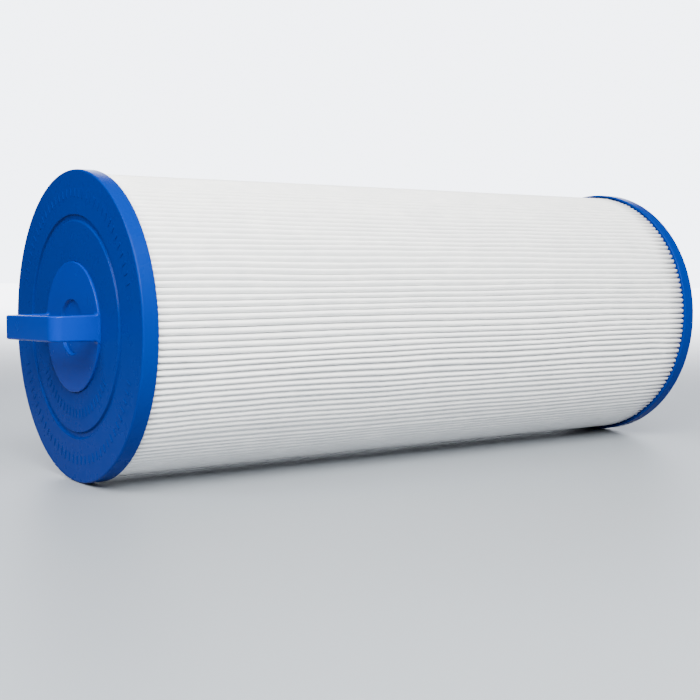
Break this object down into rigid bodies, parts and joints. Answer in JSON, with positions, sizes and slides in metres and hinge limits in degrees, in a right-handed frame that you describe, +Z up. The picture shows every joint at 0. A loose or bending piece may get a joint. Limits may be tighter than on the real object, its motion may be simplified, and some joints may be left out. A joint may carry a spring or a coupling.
{
  "type": "spa filter cartridge",
  "caption": "Pleated spa filter cartridge with a perforated core, moulded blue end caps, a rigid loop handle on the closed end and a threaded hollow nipple on the other.",
  "frame": {"origin": "on the surface the cartridge lies on, under the middle of its whole length (handle and nipple included)", "axes": "+X along the cartridge's axis from the handle end to the nipple end, +Z up; the axis is one cap radius above the origin"},
  "size_m": [0.3748, 0.135, 0.1349],
  "materials": {
    "cap_plastic": "moulded, satin gloss, blue",
    "handle_plastic": "moulded, satin gloss, blue",
    "potting_resin": "cast resin, glossy, blue",
    "core_plastic": "moulded, matte, white",
    "pleated_media": "spun-bonded polyester sheet, fine fibrous texture, white",
    "seam_glue": "set hot-melt glue, off-white",
    "nipple_plastic": "moulded, satin, white"
  },
  "bodies": {
    "root": {"top_cap": "cap_plastic", "handle": "handle_plastic", "top_potting": "potting_resin", "core_plug": "core_plastic", "core_section_1": "core_plastic", "core_section_2": "core_plastic", "core_section_3": "core_plastic", "core_section_4": "core_plastic", "pleat_pack": "pleated_media", "seam_bead": "seam_glue", "bottom_potting": "potting_resin", "threaded_nipple": "nipple_plastic", "bottom_cap": "cap_plastic"}
  },
  "joints": []
}
